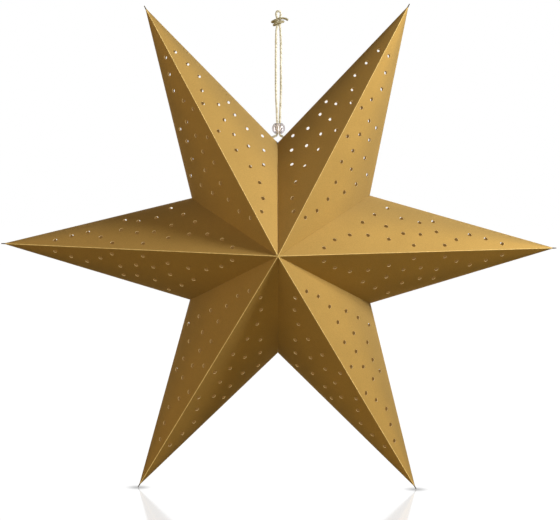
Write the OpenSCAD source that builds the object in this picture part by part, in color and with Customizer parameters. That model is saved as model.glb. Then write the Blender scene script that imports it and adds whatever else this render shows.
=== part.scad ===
// Hanging paper star: six hollow points folded from punched card, a cord, its knot and a bead.
// All sizes are in millimetres. X runs to the right, Y away from the viewer and Z up.
// The origin is the inside top of the hanging loop, where a hook carries the star.

/* [Star] */
// Distance from the middle of the star to the end of a tip
tip_radius = 300; // [270:1:330]
// Distance from the middle to the notch between two evenly spaced points
notch_radius = 113; // [105:0.5:122]
// Distance from the middle plane to the front or back middle
half_depth = 92; // [80:1:100]
// How softly a wall bends round its side, from nearly a crease to a full curve
side_softness = 0.35; // [0.25:0.05:0.6]
// Flat strips that make up one wall, from its front fold to its back fold
wall_strips = 32; // [24:8:48]

/* [Card] */
// Thickness of the card
card_t = 0.5; // [0.3:0.05:0.6]
// Width of the glued flap along a wall's base
flap_w = 9; // [7:0.5:11]
// Thickness of the glue between two flaps
glue_t = 0.1; // [0.1:0.05:0.3]
// Gap in the one seam that is left unglued, at the top
seam_gap = 0.8; // [0.5:0.1:1.2]
// Width of the lap that closes a point along its back fold
lap_w = 6; // [4:0.5:6]
// Length of the pinched end of a tip
pinch_l = 4.5; // [3:0.5:6]
// Width of a tip where its pinched end starts
pinch_w = 1.4; // [1.2:0.1:1.8]
// Width of a tip at its very end
tip_w = 0.9; // [0.7:0.1:1.1]
// Length of a tip in which the layers of card fill the whole section
closed_l = 10; // [9:1:14]

/* [Swing of each point] */
// Turn of the right point out of its even place, in degrees
swing_right = 0.6; // [-1:0.1:1]
// Turn of the top right point, which leans towards the open seam
swing_top_right = 2.1; // [0:0.1:2.4]
// Turn of the top left point, which leans towards the open seam
swing_top_left = -1.3; // [-2:0.1:0]
// Turn of the left point
swing_left = -1.5; // [-2:0.1:1]
// Turn of the bottom left point
swing_bottom_left = -0.7; // [-1:0.1:1]
// Turn of the bottom right point
swing_bottom_right = 0; // [-1:0.1:1]

/* [Pull of each notch] */
// Notch after the right point, beyond the even notch radius
pull_upper_right = 2.2; // [-4:0.1:4]
// Notch at the top, beyond the even notch radius
pull_top = 3.4; // [2:0.1:4]
// Notch after the top left point, beyond the even notch radius
pull_upper_left = -3.4; // [-4:0.1:4]
// Notch after the left point, beyond the even notch radius
pull_lower_left = -3.5; // [-4:0.1:4]
// Notch at the bottom, beyond the even notch radius
pull_bottom = -2.4; // [-4:0.1:4]
// Notch after the bottom right point, beyond the even notch radius
pull_lower_right = 1.5; // [-4:0.1:4]

/* [Punched holes] */
// Diameter of a punched hole
punch_d = 4.2; // [3:0.1:5]

/* [Cord and bead] */
// Height of the hanging loop above the middle of the star
hang_drop = 256; // [256:1:257]
// Diameter of the cord
cord_d = 2.6; // [2.2:0.1:2.7]
// Gap round the cord where it goes through the card
cord_hole_gap = 0.5; // [0.3:0.1:1]
// Distance of a cord hole from the top notch, along the side of the point
cord_hole_in = 8.5; // [8:0.5:9]
// Widest diameter of the bead
bead_d = 14; // [12:0.5:15]
// Height of the bead between its two flat ends
bead_h = 11.2; // [10:0.2:11.6]
// Diameter of the bore that holds both strands of the cord
bead_bore = 5.8; // [5.6:0.1:6.4]
// Height of the middle of the bead below the hanging loop
bead_drop = 124; // [122:0.5:125]

/* [Hidden] */

// Direction of each tip, counted anticlockwise from the right point
tip_angles = [swing_right, 60 + swing_top_right, 120 + swing_top_left,
              180 + swing_left, 240 + swing_bottom_left, 300 + swing_bottom_right];
point_count = len(tip_angles);
even_half = 180 / point_count;
top_right = 1;
top_left = 2;

// Distance from the middle to the notch after each point
notch_radii = [for (pull = [pull_upper_right, pull_top, pull_upper_left,
                            pull_lower_left, pull_bottom, pull_lower_right]) notch_radius + pull];

// Each wall is part of a cone. Its lines all start at an apex that lies just inside the tip.
// half_spread and half_rise are the half width and half depth of an even point for each unit
// of length from the apex.
notch_x = notch_radius * cos(even_half);
notch_z = notch_radius * sin(even_half);
half_spread = (notch_z - pinch_w / 2) / (tip_radius - pinch_l - notch_x);
apex_x = notch_x + notch_z / half_spread;
half_rise = half_depth / apex_x;
apex = [apex_x, 0, 0];
side_strip = wall_strips / 2;

function unit(v) = v / norm(v);

// Half width for each unit of length of a wall whose notch lies at this radius and half angle
function spread_at(radius, half) = radius * sin(half) / (apex_x - radius * cos(half));

// A wall's section is a hyperbola: straight by the folds, curved where it turns at the side.
// A wall is its lines, the normals of the flat strips between them, and the angle of each line
// on the opened sheet.
function wall(spread) =
    let (root = sqrt(1 + 2 * side_softness),
         bend = atan(spread / half_rise * root * root / (1 + side_softness)),
         parts = [for (k = [0 : wall_strips])
             tan(bend * (k / side_strip - 1)) * half_rise / spread / root],
         lines = [for (p = parts) unit([-1,
             half_rise * side_softness / root * p / sqrt(1 - p * p),
             spread * (1 + side_softness - side_softness / sqrt(1 - p * p))])],
         normals = [for (k = [0 : wall_strips - 1]) unit(cross(lines[k + 1], lines[k]))])
    [lines, normals, [for (k = [0 : wall_strips]) sheet_angle(lines, k)]];
function line_gap(lines, k) = 2 * asin(norm(lines[k + 1] - lines[k]) / 2);
function sheet_angle(lines, k) = k == 0 ? 0 : sheet_angle(lines, k - 1) + line_gap(lines, k - 1);
function wall_lines(w) = w[0];
function strip_normals(w) = w[1];
function sheet_angles(w) = w[2];

// Places of the holes in the front half of a wall: length along the front fold from the apex,
// then distance from that fold, both measured on the flat sheet
punch_places = [
    [260, 9], [246, 19], [228, 25], [210, 41], [194, 51], [177, 60], [208, 24],
    [185, 35], [165, 45], [186, 18], [168, 25], [146, 39], [160, 9], [149, 23],
    [130, 40], [130, 26], [125, 8], [110, 15], [93, 21], [76, 15], [59, 8]
];

// Solids that cut or are cut reach this far past the faces that they meet
over = 10;
cut_depth = 2;
section_reach = 2 * tip_radius;

// Middle of the star below the hanging loop
star_z = -hang_drop;

// Cord: rings of the tube, and the points that its middle line passes through
cord_sides = 8;
ring_step = 2.5 * cord_d;
cord_route = [
    [-0.6, 0, -156.2], [4.4, 0, -153.8], [7.4, 0, -148.6], [8.6, 0, -143.2], [8.4, 0, -138.2],
    [7, 0, -135], [5.1, 0, -133.4], [3.5, 0, -132.4], [1.9, 0, -131.3], [1.4, 0, -129.3],
    [1.45, 0, -124], [1.45, 0, -118], [1.9, 0, -104], [2.5, 0, -88], [2.6, 0, -62],
    [2.5, 0, -36], [2.1, 0, -20], [1.5, 0, -14], [1.5, 0, -6], [2.5, 0, -2.2],
    [1.9, 0, 0.5], [0, 0, 1.3], [-1.9, 0, 0.5], [-2.5, 0, -2.2], [-1.5, 0, -6],
    [-1.5, 0, -14], [-2.3, 0, -20], [-2.7, 0, -36], [-2.8, 0, -62], [-2.6, 0, -88],
    [-1.9, 0, -104], [-1.45, 0, -118], [-1.45, 0, -124], [-1.4, 0, -129.3], [-2.1, 0, -131.3],
    [-4.1, 0, -132.5], [-6, 0, -133.3], [-8.1, 0, -135], [-9.4, 0, -138.2], [-9.7, 0, -143.2],
    [-8.6, 0, -148.6], [-5.6, 0, -153.8]
];
knot_route = [
    [10.2, -1.6, -8.2], [6.4, -2.6, -6.6], [1, -2.9, -6.7], [-4, -2.7, -8.6], [-7, -0.4, -10.2],
    [-4.6, 2.6, -10.4], [0, 2.9, -9.7], [3.9, 2.2, -9.4], [5.2, -0.4, -9.9], [2.8, -2.9, -10.8],
    [-1.2, -2.9, -12], [-4.5, -2, -13.2], [-4.8, 0.8, -13.5], [-2, 2.9, -13], [2.6, 2.8, -12.6]
];

gold = "#C9A25C";
cord_cream = "#E6DEC8";
bead_clear = "#DAD6DC";

// One section of a point at distance x from the middle, at depth inset under the card's face
function strip_reach(w, k, x, inset) = strip_normals(w)[k][0] * (apex_x - x) - inset;
function fold_y(w, k, x, inset) = strip_reach(w, k, x, inset) / strip_normals(w)[k][1];
function corner(w, k, x, inset) =
    let (a = strip_normals(w)[k - 1], b = strip_normals(w)[k],
         ra = strip_reach(w, k - 1, x, inset), rb = strip_reach(w, k, x, inset),
         det = a[1] * b[2] - a[2] * b[1])
    [(ra * b[2] - a[2] * rb) / det, (a[1] * rb - b[1] * ra) / det];
function section(low, high, x, inset) =
    let (last = wall_strips - 1)
    concat(
        [[x, (fold_y(low, 0, x, inset) + fold_y(high, 0, x, inset)) / 2, 0]],
        [for (k = [1 : last]) let (c = corner(high, k, x, inset)) [x, c[0], c[1]]],
        [[x, (fold_y(low, last, x, inset) + fold_y(high, last, x, inset)) / 2, 0]],
        [for (k = [last : -1 : 1]) let (c = corner(low, k, x, inset)) [x, c[0], -c[1]]]);
function end_section(low, high, x, width) =
    let (reach = width / 2 / half_spread)
    [for (p = section(low, high, apex_x - reach, 0)) [x, p[1], p[2]]];

// Closed skin round a list of rings that all have the same number of corners
function skin_strip(low, high, n) = [for (i = [0 : n - 1]) let (j = (i + 1) % n)
    each [[low + i, high + i, high + j], [low + i, high + j, low + j]]];
module skin(rings) {
    n = len(rings[0]);
    last = (len(rings) - 1) * n;
    polyhedron(points = [for (r = rings) each r],
               faces = concat([for (r = [0 : len(rings) - 2]) each skin_strip(r * n, r * n + n, n)],
                              [[for (i = [0 : n - 1]) i], [for (i = [n - 1 : -1 : 0]) last + i]]),
               convexity = 4);
}

// Slice of the star between a point's two seams, each face set back by its own inset
module slice(low_half, high_half, low_inset, high_inset) {
    turn = low_half + high_half;
    start = [low_inset * cos(high_half) + high_inset * cos(low_half),
             low_inset * sin(high_half) - high_inset * sin(low_half)] / sin(turn);
    rotate([90, 0, 0])
        linear_extrude(height = 2 * section_reach, center = true)
            polygon([start,
                     start + section_reach * [cos(low_half), -sin(low_half)],
                     start + section_reach * [cos(high_half), sin(high_half)]]);
}

// Window that leaves a flap of flap_w round the open base, in the seam at this half angle
function seam_corner(w, k, half) =
    let (line = wall_lines(w)[k] / -wall_lines(w)[k][0],
         s = apex_x * tan(half) / (line[2] + tan(half)))
    [(apex_x - s) / cos(half), s * line[1]];
module flap_window(w, half, inset) {
    notch = seam_corner(w, side_strip, half)[0];
    flap_scale = 1 - flap_w * norm([half_depth, notch]) / (half_depth * notch);
    window = [for (k = [0 : 4 : wall_strips]) flap_scale * seam_corner(w, k, half)];
    past_middle = [for (p = [window[len(window) - 1], window[0]]) p - [over, 0]];
    rotate([0, -half, 0])
        translate([0, 0, -inset - card_t - cut_depth])
            linear_extrude(height = inset + card_t + 2 * cut_depth)
                polygon(concat(window, past_middle));
}

// Lap inside the back fold, a band of card that lies on the inner face of the lower wall
module back_lap(low) {
    last = wall_strips - 1;
    n = strip_normals(low)[last];
    along = unit([0, -n[2], -n[1]]);
    function fold_at(x, depth) = [x, fold_y(low, last, x, depth), 0];
    function lap_ring(x) = [
        fold_at(x, card_t / 2),
        fold_at(x, card_t / 2) + lap_w * along,
        fold_at(x, 2 * card_t) + lap_w * along,
        fold_at(x, 2 * card_t) - 1.5 * card_t * along
    ];
    skin([lap_ring(apex_x - closed_l / 2), lap_ring(-over)]);
}

// Round hole through a wall, at a distance from the apex and an angle on the sheet
module wall_hole(w, reach, angle, d) {
    angles = sheet_angles(w);
    k = max([for (i = [0 : wall_strips - 1]) if (angles[i] <= angle + 0.0001) i]);
    part = angle - angles[k];
    span = angles[k + 1] - angles[k];
    line = (sin(span - part) * wall_lines(w)[k] + sin(part) * wall_lines(w)[k + 1]) / sin(span);
    n = strip_normals(w)[k];
    translate(apex + reach * line)
        rotate([0, acos(n[2]), atan2(n[1], n[0])])
            cylinder(h = 2 * cut_depth, d = d, center = true, $fn = 24);
}

module punched_holes(w) {
    for (face = [0, 1], place = punch_places)
        mirror([0, face, 0])
            wall_hole(w, norm(place), atan2(place[1], place[0]), punch_d);
}

module cord_hole(w, half) {
    notch = seam_corner(w, side_strip, half)[0];
    reach = norm([apex_x - notch * cos(half), notch * sin(half)]) - cord_hole_in;
    wall_hole(w, reach, sheet_angles(w)[side_strip], cord_d + 2 * cord_hole_gap);
}

// One folded point. The seam on its low side faces the point before it, the high side the next one.
module star_point(i) {
    own = tip_angles[i];
    before = i == 0 ? tip_angles[point_count - 1] - 360 : tip_angles[i - 1];
    after = i == point_count - 1 ? tip_angles[0] + 360 : tip_angles[i + 1];
    low_half = (own - before) / 2;
    high_half = (after - own) / 2;
    low = wall(spread_at(notch_radii[(i + point_count - 1) % point_count], low_half));
    high = wall(spread_at(notch_radii[i], high_half));
    low_inset = (i == top_left ? seam_gap : glue_t) / 2;
    high_inset = (i == top_right ? seam_gap : glue_t) / 2;
    color(gold)
        translate([0, 0, star_z])
            rotate([0, -own, 0])
                difference() {
                    intersection() {
                        skin([end_section(low, high, tip_radius, tip_w),
                              end_section(low, high, tip_radius - pinch_l, pinch_w),
                              section(low, high, -over, 0)]);
                        slice(low_half, high_half, low_inset, high_inset);
                    }
                    difference() {
                        intersection() {
                            skin([section(low, high, apex_x - closed_l, card_t),
                                  section(low, high, -over, card_t)]);
                            slice(low_half, high_half, low_inset + card_t, high_inset + card_t);
                        }
                        back_lap(low);
                    }
                    flap_window(high, high_half, high_inset);
                    mirror([0, 0, 1]) flap_window(low, low_half, low_inset);
                    punched_holes(high);
                    mirror([0, 0, 1]) punched_holes(low);
                    if (i == top_right) cord_hole(high, high_half);
                    if (i == top_left) mirror([0, 0, 1]) cord_hole(low, low_half);
                }
}

// Smooth line through the points of a route: each stretch is a cubic with shared end directions
function route_point(route, i, closed) =
    closed ? route[(i + len(route)) % len(route)] : route[max(0, min(len(route) - 1, i))];
function route_slope(route, i, closed) =
    let (a = route_point(route, i - 1, closed), b = route_point(route, i, closed),
         c = route_point(route, i + 1, closed))
    (c - a) / (norm(b - a) + norm(c - b));
function on_route(route, i, t, closed) =
    let (a = route_point(route, i, closed), b = route_point(route, i + 1, closed),
         span = norm(b - a),
         ma = span * route_slope(route, i, closed), mb = span * route_slope(route, i + 1, closed))
    (2 * t * t * t - 3 * t * t + 1) * a + (t * t * t - 2 * t * t + t) * ma
    + (3 * t * t - 2 * t * t * t) * b + (t * t * t - t * t) * mb;
function route_line(route, closed) = [
    for (i = [0 : len(route) - (closed ? 1 : 2)])
        let (span = norm(route_point(route, i + 1, closed) - route_point(route, i, closed)),
             steps = max(1, ceil(span / ring_step)))
            for (s = [0 : steps - 1]) on_route(route, i, s / steps, closed),
    if (!closed) route[len(route) - 1]
];
function tube_ring(line, i, closed, across) =
    let (ahead = unit(route_slope(line, i, closed)), side = unit(cross(across, ahead)),
         up = cross(ahead, side))
    [for (s = [0 : cord_sides - 1]) let (a = 360 * s / cord_sides)
        line[i] + cord_d / 2 * (cos(a) * side + sin(a) * up)];

// Cord: both strands, the loop at the top, and the turn inside the star, as one closed ring
module hanging_cord() {
    line = route_line(cord_route, true);
    rings = [for (i = [0 : len(line) - 1]) tube_ring(line, i, true, [0, 1, 0])];
    n = cord_sides;
    total = len(line) * n;
    color(cord_cream)
        polyhedron(points = [for (r = rings) each r],
                   faces = [for (r = [0 : len(line) - 1])
                       each skin_strip(r * n, (r * n + n) % total, n)],
                   convexity = 6);
}

// Knot: the end of the cord, wound twice round both strands, with a short tail
module cord_knot() {
    line = route_line(knot_route, false);
    color(cord_cream)
        skin([for (i = [0 : len(line) - 1]) tube_ring(line, i, false, [0, 0, 1])]);
}

// Bead: a ball with two flat ends, drilled for both strands
module cord_bead() {
    color(bead_clear)
        translate([0, 0, -bead_drop])
            difference() {
                intersection() {
                    sphere(d = bead_d, $fn = 48);
                    cylinder(h = bead_h, d = 2 * bead_d, center = true, $fn = 48);
                }
                cylinder(h = 2 * bead_h, d = bead_bore, center = true, $fn = 32);
            }
}

star_point(0);  // point_right
star_point(top_right);  // point_top_right
star_point(top_left);  // point_top_left
star_point(3);  // point_left
star_point(4);  // point_bottom_left
star_point(5);  // point_bottom_right
hanging_cord();
cord_knot();
cord_bead();
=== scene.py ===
# %% [markdown]
# # A hanging paper star
# The real star is cut from card with a pearl gold print. Each of its six points is one sheet,
# punched with small round holes, scored down the middle and folded into a hollow spike. The
# spikes are glued side by side along flaps, a cord closes the last seam, and a clear bead slides
# on the cord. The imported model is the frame: every piece below is made where it says.

# %% Load the frame and keep its box
import math
import bmesh
import bpy
from mathutils import Matrix, Vector


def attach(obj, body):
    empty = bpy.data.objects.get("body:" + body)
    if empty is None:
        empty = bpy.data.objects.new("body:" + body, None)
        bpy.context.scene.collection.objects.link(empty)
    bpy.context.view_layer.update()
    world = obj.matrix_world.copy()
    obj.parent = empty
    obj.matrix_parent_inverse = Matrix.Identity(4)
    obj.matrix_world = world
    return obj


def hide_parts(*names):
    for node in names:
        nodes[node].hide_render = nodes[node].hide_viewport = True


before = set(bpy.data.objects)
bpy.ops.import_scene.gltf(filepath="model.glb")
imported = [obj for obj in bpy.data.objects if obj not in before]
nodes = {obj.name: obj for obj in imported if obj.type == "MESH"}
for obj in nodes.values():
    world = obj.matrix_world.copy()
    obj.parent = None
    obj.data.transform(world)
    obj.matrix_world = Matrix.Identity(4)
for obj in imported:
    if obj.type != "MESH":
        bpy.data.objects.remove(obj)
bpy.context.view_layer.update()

# %% [markdown]
# ## The camera
# The picture is 560 pixels wide and the star fills it from tip to tip. The places of the twelve
# outer corners show that the camera stood about 2 m away and a little above the middle of the
# star, so it looks down by not quite 4 degrees. No light comes through the open seam at the top,
# so it also stood a little to the right. A long lens keeps the tips from stretching.

# %% Camera
MM = 0.001
PICTURE = (560, 520)
FOCAL_PX = 1850
SENSOR_MM = 36
LOOK_AT = Vector((0.0016, 0, -0.2659))
LOOK_DOWN = math.radians(3.75)
LOOK_LEFT = math.radians(0.3)
CAMERA_DISTANCE = 2.0

camera_data = bpy.data.cameras.new("photo_camera")
camera_data.sensor_width = SENSOR_MM
camera_data.lens = SENSOR_MM * FOCAL_PX / PICTURE[0]
camera = bpy.data.objects.new("photo_camera", camera_data)
bpy.context.scene.collection.objects.link(camera)
camera.rotation_euler = (math.radians(90) - LOOK_DOWN, 0, LOOK_LEFT)
camera.location = LOOK_AT + camera.rotation_euler.to_matrix() @ Vector((0, 0, CAMERA_DISTANCE))
bpy.context.scene.camera = camera
bpy.context.scene.view_settings.view_transform = "Standard"
print("lens", round(camera_data.lens, 1), "mm")

# %% [markdown]
# ## Small helpers
# Colours are written as sRGB hex values, as a paint chart gives them, and Blender wants linear
# ones. One function adds any shader node with its settings and links.

# %% Helpers for colour, nodes and finished meshes
def linear(hex_colour):
    parts = [int(hex_colour[i:i + 2], 16) / 255 for i in (1, 3, 5)]
    return [v / 12.92 if v <= 0.04045 else ((v + 0.055) / 1.055) ** 2.4 for v in parts] + [1]


def add_node(tree, kind, settings=None, **sockets):
    node = tree.nodes.new("ShaderNode" + kind)
    for key, value in (settings or {}).items():
        setattr(node, key, value)
    for key, value in sockets.items():
        name = key.replace("_", " ")
        socket = node.inputs[int(key[1:])] if key[1:].isdigit() else node.inputs[name]
        if isinstance(value, bpy.types.NodeSocket):
            tree.links.new(value, socket)
        else:
            socket.default_value = value
    return node


def new_material(name):
    material = bpy.data.materials.new(name)
    material.use_nodes = True
    tree = material.node_tree
    tree.nodes.clear()
    return material, tree


def finish_piece(name, bm, materials, node_name):
    mesh = bpy.data.meshes.new(name)
    bm.to_mesh(mesh)
    bm.free()
    for material in materials:
        mesh.materials.append(material)
    piece = bpy.data.objects.new(name, mesh)
    bpy.context.scene.collection.objects.link(piece)
    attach(piece, "root")
    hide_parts(node_name)
    print(name, len(mesh.polygons), "faces")
    return piece

# %% [markdown]
# ## The cord
# The cord is three soft yarns laid together, 2.6 mm thick, in one ring: up through a hole in one
# point, through the bead, round the loop at the top and down again. The route's points are the
# ones that the CAD model uses. A ring of edges with three round lobes is pulled along the route
# and turned as it goes, which lays the yarns round each other.

# %% The route of the cord and of its knot
CORD_D = 2.6 * MM
YARN_LAY = 9 * MM
CORD_ROUTE = [
    (-0.6, 0, -156.2), (4.4, 0, -153.8), (7.4, 0, -148.6), (8.6, 0, -143.2), (8.4, 0, -138.2),
    (7, 0, -135), (5.1, 0, -133.4), (3.5, 0, -132.4), (1.9, 0, -131.3), (1.4, 0, -129.3),
    (1.45, 0, -124), (1.45, 0, -118), (1.9, 0, -104), (2.5, 0, -88), (2.6, 0, -62),
    (2.5, 0, -36), (2.1, 0, -20), (1.5, 0, -14), (1.5, 0, -6), (2.5, 0, -2.2),
    (1.9, 0, 0.5), (0, 0, 1.3), (-1.9, 0, 0.5), (-2.5, 0, -2.2), (-1.5, 0, -6),
    (-1.5, 0, -14), (-2.3, 0, -20), (-2.7, 0, -36), (-2.8, 0, -62), (-2.6, 0, -88),
    (-1.9, 0, -104), (-1.45, 0, -118), (-1.45, 0, -124), (-1.4, 0, -129.3), (-2.1, 0, -131.3),
    (-4.1, 0, -132.5), (-6, 0, -133.3), (-8.1, 0, -135), (-9.4, 0, -138.2), (-9.7, 0, -143.2),
    (-8.6, 0, -148.6), (-5.6, 0, -153.8),
]
KNOT_ROUTE = [
    (10.2, -1.6, -8.2), (6.4, -2.6, -6.6), (1, -2.9, -6.7), (-4, -2.7, -8.6), (-7, -0.4, -10.2),
    (-4.6, 2.6, -10.4), (0, 2.9, -9.7), (3.9, 2.2, -9.4), (5.2, -0.4, -9.9), (2.8, -2.9, -10.8),
    (-1.2, -2.9, -12), (-4.5, -2, -13.2), (-4.8, 0.8, -13.5), (-2, 2.9, -13), (2.6, 2.8, -12.6),
]
STEP = 0.9 * MM


def smooth_line(route, closed):
    points = [Vector(p) * MM for p in route]
    count = len(points)
    def at(i):
        return points[i % count] if closed else points[max(0, min(count - 1, i))]
    def slope(i):
        a, b, c = at(i - 1), at(i), at(i + 1)
        return (c - a) / ((b - a).length + (c - b).length)
    line = []
    for i in range(count if closed else count - 1):
        a, b = at(i), at(i + 1)
        span = (b - a).length
        ma, mb = span * slope(i), span * slope(i + 1)
        steps = max(1, math.ceil(span / STEP))
        for s in range(steps):
            t = s / steps
            line.append((2 * t**3 - 3 * t**2 + 1) * a + (t**3 - 2 * t**2 + t) * ma
                        + (3 * t**2 - 2 * t**3) * b + (t**3 - t**2) * mb)
    return line if closed else line + [points[-1]]


def line_length(line):
    return sum((b - a).length for a, b in zip(line, line[1:]))


cord_line = smooth_line(CORD_ROUTE, closed=True)
knot_line = smooth_line(KNOT_ROUTE, closed=False)
print("cord", round(line_length(cord_line), 4), "m, knot", round(line_length(knot_line), 4), "m")

# %% Pull a ring of three yarns along a line
RING_SIDES = 18
YARNS = 3
YARN_GROOVE = 0.16


def lay_yarns(bm, line, radius):
    def lobe(angle):
        return radius * (1 - YARN_GROOVE * (0.5 - 0.5 * math.cos(YARNS * angle)) ** 1.5)
    ring = bmesh.ops.create_circle(bm, segments=RING_SIDES, radius=radius)["verts"]
    first, travelled, side = list(ring), 0, None
    for i, centre in enumerate(line):
        ahead = (line[min(i + 1, len(line) - 1)] - line[max(i - 1, 0)]).normalized()
        side = (side or Vector((0, 1, 0)).cross(ahead)).normalized()
        side = (side - ahead * side.dot(ahead)).normalized()
        up = ahead.cross(side)
        if i > 0:
            travelled += (centre - line[i - 1]).length
            loop = {e for v in ring for e in v.link_edges if e.other_vert(v) in ring}
            made = bmesh.ops.extrude_edge_only(bm, edges=list(loop))["geom"]
            fresh = {v for v in made if isinstance(v, bmesh.types.BMVert)}
            ring = [next(e.other_vert(v) for e in v.link_edges if e.other_vert(v) in fresh)
                    for v in ring]
        turn = 2 * math.pi * travelled / YARN_LAY
        for k, v in enumerate(ring):
            a = 2 * math.pi * k / RING_SIDES
            v.co = centre + lobe(a) * (math.cos(a + turn) * side + math.sin(a + turn) * up)
    for end in (first, ring):
        bmesh.ops.contextual_create(bm, geom=end)
    bmesh.ops.recalc_face_normals(bm, faces=bm.faces[:])
    for face in bm.faces:
        face.smooth = len(face.verts) == 4

# %% [markdown]
# The yarn is matt cotton in cream with tan flecks. Fine fibres stand on it, so it gets a little
# sheen and a soft fibre bump. A noise's scale counts its waves in a metre, so 3300 is a fibre of
# 0.3 mm, and 420 a fleck of 2.4 mm. A faint glow in the yarn's own colour is painted light, for
# the light from the white studio that comes through the loose fibres. The knot is pulled tight,
# and it is painted browner and with less glow, as painted shade.

# %% Cotton cord material
FIBRE_SCALE, FLECK_SCALE = 3300.0, 420.0
FIBRE_HEIGHT = 0.2 * MM
FLECK_AT, CREAM_AT = 0.3, 0.62


def cotton_cord(name, fleck, cream, glow):
    material, tree = new_material(name)
    place = add_node(tree, "TexCoord").outputs["Object"]
    fibres = add_node(tree, "TexNoise", Vector=place, Scale=FIBRE_SCALE, Detail=2.0).outputs["Fac"]
    flecks = add_node(tree, "TexNoise", Vector=place, Scale=FLECK_SCALE, Detail=2.0).outputs["Fac"]
    tone = add_node(tree, "ValToRGB", Fac=flecks)
    for stop, at, colour in zip(tone.color_ramp.elements, (FLECK_AT, CREAM_AT), (fleck, cream)):
        stop.position = at
        stop.color = linear(colour)
    bump = add_node(tree, "Bump", Height=fibres, Strength=0.5, Distance=FIBRE_HEIGHT)
    # Painted light: the yarn glows faintly in its own colour.
    shader = add_node(tree, "BsdfPrincipled", Base_Color=tone.outputs["Color"], Roughness=0.85,
                      Sheen_Weight=0.3, Normal=bump.outputs["Normal"],
                      Emission_Color=tone.outputs["Color"], Emission_Strength=glow)
    add_node(tree, "OutputMaterial", Surface=shader.outputs["BSDF"])
    return material


cord_cotton = cotton_cord("twisted_cotton_cord", fleck="#B9AF8A", cream="#F2ECD6", glow=0.34)
# Painted shade: the knot's colours are darker and its glow weaker than the cord's.
knot_cotton_painted_shade = cotton_cord("tight_knot_painted_shade", fleck="#8F8258", cream="#D2C69E", glow=0.12)

# %% Cord and knot
cord_bm = bmesh.new()
lay_yarns(cord_bm, cord_line, CORD_D / 2)
cord_piece = finish_piece("twisted_cord", cord_bm, [cord_cotton], "hanging_cord")

knot_bm = bmesh.new()
lay_yarns(knot_bm, knot_line, CORD_D / 2)
knot_piece = finish_piece("wound_knot", knot_bm, [knot_cotton_painted_shade], "cord_knot")

# %% [markdown]
# ## The bead
# The bead is a ball of clear acrylic with two flat ends and a bore for both strands. A closed
# outline in one half plane is spun round the bore's axis, so its flats, its ball and its bore
# come from one line, with small round edges where the real bead is tumbled smooth. Its rim is
# painted darker than its middle where its surface is seen edge-on, a painted shade for the dark
# rim that any clear ball shows where light is bent most.

# %% Bead
BEAD_Z = -124 * MM
BEAD_R, BEAD_HALF_H, BORE_R = 7 * MM, 5.6 * MM, 2.9 * MM
BEAD_ROUND = 0.35 * MM
BALL_STEPS = 16
SPIN_STEPS = 64
WELD = 1e-7


def spin_outline(bm, outline, z):
    verts = [bm.verts.new((r, 0, z + h)) for r, h in outline]
    edges = [bm.edges.new((a, b)) for a, b in zip(verts, verts[1:] + verts[:1])]
    bmesh.ops.spin(bm, geom=verts + edges, cent=(0, 0, z), axis=(0, 0, 1),
                   angle=2 * math.pi, steps=SPIN_STEPS, use_merge=True)
    bmesh.ops.remove_doubles(bm, verts=bm.verts[:], dist=WELD)
    bmesh.ops.recalc_face_normals(bm, faces=bm.faces[:])
    for face in bm.faces:
        face.smooth = True


flat_r = math.sqrt(BEAD_R ** 2 - BEAD_HALF_H ** 2)
flat_angle = math.asin((BEAD_HALF_H - BEAD_ROUND) / BEAD_R)
ball = [(BEAD_R * math.cos(a), BEAD_R * math.sin(a))
        for a in (flat_angle * (2 * s / BALL_STEPS - 1) for s in range(BALL_STEPS + 1))]
flat_top = [(flat_r - 0.2 * BEAD_ROUND, BEAD_HALF_H - 0.25 * BEAD_ROUND),
            (flat_r - BEAD_ROUND, BEAD_HALF_H),
            (BORE_R + BEAD_ROUND, BEAD_HALF_H),
            (BORE_R + 0.3 * BEAD_ROUND, BEAD_HALF_H - 0.3 * BEAD_ROUND),
            (BORE_R, BEAD_HALF_H - BEAD_ROUND)]
outline = ball + flat_top + [(r, -h) for r, h in reversed(flat_top)]

bead_bm = bmesh.new()
spin_outline(bead_bm, outline, BEAD_Z)


def clear_acrylic():
    material, tree = new_material("clear_acrylic")
    # Painted shade: the colour darkens towards the rim, where the surface is seen edge-on.
    painted_rim_shade = add_node(tree, "LayerWeight", Blend=0.35).outputs["Facing"]
    tint_with_painted_rim = add_node(tree, "Mix", {"data_type": "RGBA"}, _0=painted_rim_shade, _6=linear("#F6F0F0"),
                    _7=linear("#8E88A2")).outputs[2]
    shader = add_node(tree, "BsdfPrincipled", Base_Color=tint_with_painted_rim, Roughness=0.1, IOR=1.49,
                      Transmission_Weight=0.8)
    add_node(tree, "OutputMaterial", Surface=shader.outputs["BSDF"])
    return material


bead_piece = finish_piece("clear_bead", bead_bm, [clear_acrylic()], "cord_bead")

# %% [markdown]
# ## The folded points
# A point is one sheet of card 0.5 mm thick. Each of its two walls is part of a cone: all its
# straight lines start near the tip, and the wall is straight by the folds and turns softly at the
# side. The CAD node already has the walls, flaps, lap and punched holes in their true shape, but
# it stands for the soft turn by narrow flat strips. A merged copy keeps the shape, and gets the
# cone's own normals, so that light runs over it as over real bent card. The star was pulled into
# shape by hand, so its points swing a little and its notches lie at their own distances.
# Each point has its own axes: X along the fold, from the star's middle to the tip, Y to the back
# and Z across the fold. The walls are worked out there, and turned back by the tip's angle.

# %% Numbers of the star
STAR_MIDDLE = Vector((0, 0, -256 * MM))
TIP_RADIUS, NOTCH_RADIUS, HALF_DEPTH = 300 * MM, 113 * MM, 92 * MM
PINCH_L, PINCH_W = 4.5 * MM, 1.4 * MM
SOFTNESS = 0.35
TIP_ANGLES = {"right": 0.6, "top_right": 62.1, "top_left": 118.7,
              "left": 178.5, "bottom_left": 239.3, "bottom_right": 300}
NOTCH_AFTER = {"right": 115.2, "top_right": 116.4, "top_left": 109.6,
               "left": 109.5, "bottom_left": 110.6, "bottom_right": 114.5}

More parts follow.
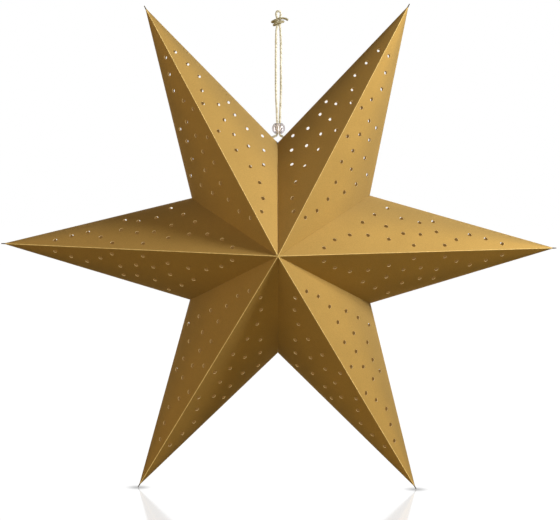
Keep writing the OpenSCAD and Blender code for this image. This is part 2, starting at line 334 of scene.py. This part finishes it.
even_half = math.radians(30)
notch_x, notch_z = NOTCH_RADIUS * math.cos(even_half), NOTCH_RADIUS * math.sin(even_half)
even_spread = (notch_z - PINCH_W / 2) / (TIP_RADIUS - PINCH_L - notch_x)
apex_x = notch_x + notch_z / even_spread
half_rise = HALF_DEPTH / apex_x
print("apex at", round(apex_x, 4), "spread", round(even_spread, 4), "rise", round(half_rise, 4))


def wall_spreads(name):
    names = list(TIP_ANGLES)
    i = names.index(name)
    before, after = names[i - 1], names[(i + 1) % len(names)]
    spreads = {}
    for side, notch, other in ((-1, before, before), (1, name, after)):
        half = math.radians(side * (TIP_ANGLES[other] - TIP_ANGLES[name]) % 360) / 2
        radius = NOTCH_AFTER[notch] * MM
        spreads[side] = radius * math.sin(half) / (apex_x - radius * math.cos(half))
    print(name, "half width per length", {side: round(v, 4) for side, v in spreads.items()})
    return spreads


def into_point(own):
    return Matrix.Rotation(math.radians(own), 4, "Y") @ Matrix.Translation(-STAR_MIDDLE)


def wall_normal(p, side, spread):
    reach = max(apex_x - p.x, 1e-6)
    wide, high = abs(p.z) / (spread * reach), p.y / (half_rise * reach)
    n_z = side * (1 + SOFTNESS - wide) / spread
    n_y = (1 + 2 * SOFTNESS) * high / half_rise
    return Vector(((n_y * p.y + n_z * p.z) / reach, n_y, n_z)).normalized()

# %% [markdown]
# The card is offset-printed with a pearl gold: mica flakes in a satin varnish over a cream core.
# Most of its light is scattered, and part comes back as a broad metallic sheen. The folds are
# paler, partly because the print is rubbed there and partly as a painted highlight, for the light
# that a real rounded fold catches. The tips are grey where they were pinched with glue, and the cut
# edges in the holes show the cream core. Paper tooth is 0.4 mm wide, drawn at 1 mm so that it
# shows, and the print is uneven in clouds of 36 mm. The pale edge of a fold is ragged every 4 mm.
# Towards the side of each point the print is painted darker and greyer, as painted shade and a
# painted grey sheen where the wall turns away. The inner face glows faintly, painted light for the
# little light that thin card lets through, so the inside of the star is a deep brown and never
# black. The folds glow as part of their painted highlight, and the cut edges glow as painted light.

# %% Card materials
# The fold colour is partly rubbed print and partly a painted highlight.
PRINT_GOLD, FOLD_WEAR_AND_HIGHLIGHT, PINCHED_TIP = "#C9A25A", "#E8C680", "#6C5C40"
INNER_FACE, CREAM_CORE = "#A8844A", "#F2E4C0"
# Painted shade and a painted grey sheen: the print is darkened and cooled towards each point's
# sides.
UNSHADED_MIDDLE_TONE, PAINTED_SIDE_SHADE = "#FFFFFF", "#E4E8F6"
FOLD_HALF = 0.43 * MM
PINCH_BLEND = 0.5 * MM
TOOTH_SCALE, CLOUD_SCALE, FOLD_EDGE_SCALE = 1000.0, 28.0, 250.0
TOOTH_HEIGHT = 0.1 * MM
TOOTH_SHADE, CLOUD_SHADE = (0.93, 1.07), (0.97, 1.03)
# Glow colours, all painted light: in the inner face, on the folds as a painted highlight, and on
# the cut edges.
LIGHT_THROUGH_CARD, FOLD_HIGHLIGHT_GLOW, LIGHT_IN_CUT = "#8F7648", "#E2C87C", "#D2BC84"
INNER_GLOW, FOLD_HIGHLIGHT_STRENGTH, CUT_GLOW = 0.42, 0.38, 0.55


def card_finish(tree, place, colour, roughness, metallic, glow, let_through):
    tooth = add_node(tree, "TexNoise", Vector=place, Scale=TOOTH_SCALE, Detail=3.0).outputs["Fac"]
    cloud = add_node(tree, "TexNoise", Vector=place, Scale=CLOUD_SCALE, Detail=2.0).outputs["Fac"]
    fine, broad = [add_node(tree, "MapRange", Value=noise, From_Min=0.3, From_Max=0.7, To_Min=dark,
                            To_Max=pale).outputs[0]
                   for noise, (dark, pale) in ((tooth, TOOTH_SHADE), (cloud, CLOUD_SHADE))]
    shade = add_node(tree, "Math", {"operation": "MULTIPLY"}, _0=fine, _1=broad).outputs[0]
    tinted = add_node(tree, "VectorMath", {"operation": "SCALE"}, _0=colour, Scale=shade)
    bump = add_node(tree, "Bump", Height=tooth, Strength=0.25, Distance=TOOTH_HEIGHT)
    shader = add_node(tree, "BsdfPrincipled", Base_Color=tinted.outputs[0], Roughness=roughness,
                      Metallic=metallic, Specular_IOR_Level=0.02, Normal=bump.outputs["Normal"],
                      Emission_Color=linear(glow), Emission_Strength=let_through)
    add_node(tree, "OutputMaterial", Surface=shader.outputs["BSDF"])


def pearl_gold(name, own):
    material, tree = new_material("pearl_gold_card_" + name)
    turn = math.radians(own)
    shift = -(Matrix.Rotation(turn, 3, "Y") @ STAR_MIDDLE)
    place = add_node(tree, "Mapping", Vector=add_node(tree, "TexCoord").outputs["Object"],
                     Rotation=(0, turn, 0), Location=shift).outputs[0]
    axes = add_node(tree, "SeparateXYZ", Vector=place).outputs
    off_fold = add_node(tree, "Math", {"operation": "ABSOLUTE"}, _0=axes["Z"]).outputs[0]
    ragged = add_node(tree, "TexNoise", Vector=place, Scale=FOLD_EDGE_SCALE, Detail=2.0).outputs["Fac"]
    past_fold_edge = add_node(tree, "Math", {"operation": "MULTIPLY_ADD"}, _0=ragged, _1=-FOLD_HALF,
                         _2=off_fold).outputs[0]
    # Painted highlight: a pale band along the fold, partly rubbed print and partly a highlight.
    fold = add_node(tree, "MapRange", Value=past_fold_edge, From_Min=0.0, From_Max=0.5 * FOLD_HALF,
                    To_Min=1.0, To_Max=0.0).outputs[0]
    fold_wear_and_highlight = add_node(tree, "Mix", {"data_type": "RGBA"}, _0=fold, _6=linear(PRINT_GOLD),
                    _7=linear(FOLD_WEAR_AND_HIGHLIGHT)).outputs[2]
    half_width = add_node(tree, "Math", {"operation": "MULTIPLY_ADD"}, _0=axes["X"],
                          _1=-even_spread, _2=apex_x * even_spread).outputs[0]
    to_side = add_node(tree, "Math", {"operation": "DIVIDE"}, _0=off_fold, _1=half_width).outputs[0]
    # Painted shade: the print darkens and greys from 30% of the half width out to the side.
    painted_side_shade_mask = add_node(tree, "MapRange", {"interpolation_type": "SMOOTHSTEP"}, Value=to_side,
                       From_Min=0.3, From_Max=1.0).outputs[0]
    tone = add_node(tree, "Mix", {"data_type": "RGBA"}, _0=painted_side_shade_mask, _6=linear(UNSHADED_MIDDLE_TONE),
                    _7=linear(PAINTED_SIDE_SHADE)).outputs[2]
    print_with_painted_light = add_node(tree, "VectorMath", {"operation": "MULTIPLY"}, _0=fold_wear_and_highlight,
                          _1=tone).outputs[0]
    pinch = add_node(tree, "MapRange", Value=axes["X"], From_Min=TIP_RADIUS - PINCH_L - PINCH_BLEND,
                     From_Max=TIP_RADIUS - PINCH_L + PINCH_BLEND).outputs[0]
    colour = add_node(tree, "Mix", {"data_type": "RGBA"}, _0=pinch, _6=print_with_painted_light,
                      _7=linear(PINCHED_TIP)).outputs[2]
    # Painted highlight: the fold also glows, except at the pinched tip.
    open_fold = add_node(tree, "Math", {"operation": "SUBTRACT", "use_clamp": True}, _0=fold,
                         _1=pinch).outputs[0]
    through = add_node(tree, "Math", {"operation": "MULTIPLY"}, _0=open_fold,
                       _1=FOLD_HIGHLIGHT_STRENGTH).outputs[0]
    card_finish(tree, place, colour, roughness=0.5, metallic=0.05, glow=FOLD_HIGHLIGHT_GLOW,
                let_through=through)
    return material


def plain_card(name, colour, roughness, glow, let_through):
    material, tree = new_material(name)
    place = add_node(tree, "TexCoord").outputs["Object"]
    card_finish(tree, place, linear(colour)[:3], roughness, metallic=0, glow=glow,
                let_through=let_through)
    return material


# Painted light: the inner face and the cut edges glow faintly; the cut edges' cream is the card's
# own core.
inside_card = plain_card("inside_of_gold_card", INNER_FACE, 0.6, LIGHT_THROUGH_CARD, INNER_GLOW)
cut_card = plain_card("cut_edge_of_card", CREAM_CORE, 0.75, LIGHT_IN_CUT, CUT_GLOW)

# %% [markdown]
# The cord pulls the top seam shut, so each of the two flaps beside it moves 0.36 mm towards the
# other. The corners that move lie near the seam's plane, which leans by 0.4 degrees, and either
# inside the walls or at the notch. A face belongs to the gold print where it looks the way the
# cone does, to the inner face where it looks the other way, and to the cut edges where it stands
# across the card. The pinched tips wear the print's material all round.

# %% Fold the six points
FACING = 0.99
EDGE_ON = 0.25
OUTER, INNER, CUT = 0, 1, 2
SEAM_SLOPE = math.tan(math.radians(-0.4))
SEAM_NEAR, SEAM_PULL = 1.4 * MM, 0.36 * MM
SEAM_INSIDE, NOTCH_HEIGHT = 0.05, 98 * MM


def close_top_seam(bm, to_own, spreads):
    for v in bm.verts:
        own = to_own @ v.co
        spread = spreads[1 if own.z > 0 else -1]
        reach = apex_x - own.x
        wide, high = abs(own.z) / (spread * reach), abs(own.y) / (half_rise * reach)
        inside = (1 + SOFTNESS - wide) ** 2 - (1 + 2 * SOFTNESS) * high ** 2 - SOFTNESS ** 2
        above = v.co.z - STAR_MIDDLE.z
        off_seam = v.co.x - SEAM_SLOPE * above
        moves = inside > SEAM_INSIDE or above > NOTCH_HEIGHT
        if above > 0 and abs(off_seam) < SEAM_NEAR and moves:
            v.co.x -= math.copysign(SEAM_PULL, off_seam)


def folded_point(name, own):
    node = nodes["point_" + name]
    bm = bmesh.new()
    bm.from_mesh(node.data)
    bmesh.ops.remove_doubles(bm, verts=bm.verts[:], dist=WELD)
    spreads = wall_spreads(name)
    to_own = into_point(own)
    back = to_own.inverted().to_3x3()
    close_top_seam(bm, to_own, spreads)
    shades = []
    for face in bm.faces:
        centre = to_own @ face.calc_center_median()
        side = 1 if centre.z > 0 else -1
        own_normal = to_own.to_3x3() @ face.normal
        facing = own_normal.dot(wall_normal(centre, side, spreads[side]))
        pinched = centre.x > TIP_RADIUS - PINCH_L
        face.material_index = (OUTER if facing > FACING or pinched
                               else CUT if abs(facing) < EDGE_ON else INNER)
        face.smooth = True
        wall = abs(facing) > FACING and not pinched
        for corner in face.loops:
            normal = face.normal
            if wall:
                own_turn = wall_normal(to_own @ corner.vert.co, side, spreads[side])
                normal = back @ own_turn * math.copysign(1, facing)
            shades.append(tuple(normal))
    piece = finish_piece("folded_point_" + name, bm, [pearl_gold(name, own), inside_card, cut_card],
                         "point_" + name)
    piece.data.normals_split_custom_set(shades)
    return piece


for point_name, own_angle in TIP_ANGLES.items():
    folded_point(point_name, own_angle)

# %% [markdown]
# ## The studio
# The photograph's floor and background are white. The floor passes just under the two lowest
# tips, which are not quite level, so it leans by less than half a degree. It glows white for the
# camera, mirrors the tips faintly, and its glow is held back close to each tip that it carries,
# as the small soft contact shadows. Its paint is dark to the camera, so that the lamps don't wash
# the reflection out, and beige to the star, which gives the panels that face down a warm bounce.
# The world looks white to the camera, to reflections and through the bead, and gives no light of
# its own.

# %% Floor
STANDS_ON = [min((v.co for v in nodes["point_" + name].data.vertices), key=lambda co: co.z)
             for name in ("bottom_left", "bottom_right")]
FLOOR_GAP = 0.2 * MM
FLOOR_GLOW = 0.76
FLOOR_HALF = 6.0
CONTACT_REACH, CONTACT_GLOW = 17 * MM, 0.25
MIRROR = 0.25
SEEN_TONE, BOUNCE_TONE = "#3C3C3C", "#A3946A"


def white_rays(tree):
    rays = add_node(tree, "LightPath").outputs
    direct = add_node(tree, "Math", {"operation": "MAXIMUM"}, _0=rays["Is Camera Ray"],
                      _1=rays["Is Glossy Ray"]).outputs[0]
    white = add_node(tree, "Math", {"operation": "MAXIMUM"}, _0=direct,
                     _1=rays["Is Transmission Ray"]).outputs[0]
    return rays["Is Camera Ray"], white


def white_floor():
    material, tree = new_material("white_floor")
    camera_ray, white = white_rays(tree)
    place = add_node(tree, "TexCoord").outputs["Object"]
    # Painted shadow: near each of the two lowest tips the floor's glow is lowered by distance, as a
    # soft contact shadow.
    left, right = [add_node(tree, "VectorMath", {"operation": "DISTANCE"}, _0=place,
                            _1=tuple(foot)).outputs["Value"] for foot in STANDS_ON]
    nearest = add_node(tree, "Math", {"operation": "MINIMUM"}, _0=left, _1=right).outputs[0]
    glow_with_painted_contact_shadow = add_node(tree, "MapRange", {"interpolation_type": "SMOOTHSTEP"}, Value=nearest,
                     From_Min=0.0, From_Max=CONTACT_REACH, To_Min=CONTACT_GLOW,
                     To_Max=FLOOR_GLOW).outputs[0]
    glow = add_node(tree, "Math", {"operation": "MULTIPLY"}, _0=white, _1=glow_with_painted_contact_shadow).outputs[0]
    light = add_node(tree, "Emission", Color=(1, 1, 1, 1), Strength=glow)
    tone = add_node(tree, "Mix", {"data_type": "RGBA"}, _0=camera_ray, _6=linear(BOUNCE_TONE),
                    _7=linear(SEEN_TONE)).outputs[2]
    paint = add_node(tree, "BsdfPrincipled", Base_Color=tone, Roughness=1.0,
                     Specular_IOR_Level=0.0)
    sheen = add_node(tree, "Math", {"operation": "MULTIPLY"}, _0=camera_ray, _1=MIRROR).outputs[0]
    mirror = add_node(tree, "BsdfGlossy", Color=sheen, Roughness=0.1)
    matt = add_node(tree, "AddShader", _0=light.outputs[0], _1=paint.outputs[0])
    total = add_node(tree, "AddShader", _0=matt.outputs[0], _1=mirror.outputs[0])
    add_node(tree, "OutputMaterial", Surface=total.outputs[0])
    return material


floor_bm = bmesh.new()
left_foot, right_foot = STANDS_ON
lean = math.atan2(right_foot.z - left_foot.z, right_foot.x - left_foot.x)
under = (left_foot + right_foot) / 2 - Vector((0, 0, FLOOR_GAP))
bmesh.ops.create_grid(floor_bm, x_segments=1, y_segments=1, size=FLOOR_HALF,
                      matrix=Matrix.Translation(under) @ Matrix.Rotation(-lean, 4, "Y"))
print("floor under both tips leans by", round(math.degrees(lean), 2), "degrees")
floor_mesh = bpy.data.meshes.new("studio_floor")
floor_bm.to_mesh(floor_mesh)
floor_bm.free()
floor_mesh.materials.append(white_floor())
floor = bpy.data.objects.new("studio_floor", floor_mesh)
bpy.context.scene.collection.objects.link(floor)

# %% World
world = bpy.data.worlds.new("studio_world")
bpy.context.scene.world = world
world.use_nodes = True
world.node_tree.nodes.clear()
white_sky = white_rays(world.node_tree)[1]
sky = add_node(world.node_tree, "Background", Color=(1, 1, 1, 1), Strength=white_sky)
add_node(world.node_tree, "OutputWorld", Surface=sky.outputs[0])

# %% [markdown]
# The main lamp is a softbox at the star's upper right, a little towards the viewer. It lights the
# panels that face right and leaves the left point in the shade of the others, as in the
# photograph. A wide, weaker and warmer lamp fills from the left. One behind keeps the back
# readable, and is kept out of the floor's reflection.

# %% Lamps
def softbox(name, place, size, watts, colour="#FFFFFF", in_mirror=True):
    data = bpy.data.lights.new(name, "AREA")
    data.shape = "DISK"
    data.size = size
    data.energy = watts
    data.color = linear(colour)[:3]
    lamp = bpy.data.objects.new(name, data)
    bpy.context.scene.collection.objects.link(lamp)
    lamp.location = place
    lamp.visible_glossy = in_mirror
    lamp.rotation_euler = (STAR_MIDDLE - place).to_track_quat("-Z", "Y").to_euler()
    print(name, "at", [round(v, 2) for v in place], watts, "W")


def round_star(angle, out, front):
    a = math.radians(angle)
    return STAR_MIDDLE + Vector((out * math.cos(a), -front, out * math.sin(a)))


softbox("key_softbox", round_star(angle=35, out=1.2, front=0.38), size=0.26, watts=15.6)
softbox("fill_softbox", round_star(angle=155, out=1.3, front=0.45), size=1.4, watts=5.5,
        colour="#FFE8C8")
softbox("back_softbox", STAR_MIDDLE + Vector((0, 1.6, 0.3)), size=1.2, watts=12, in_mirror=False)
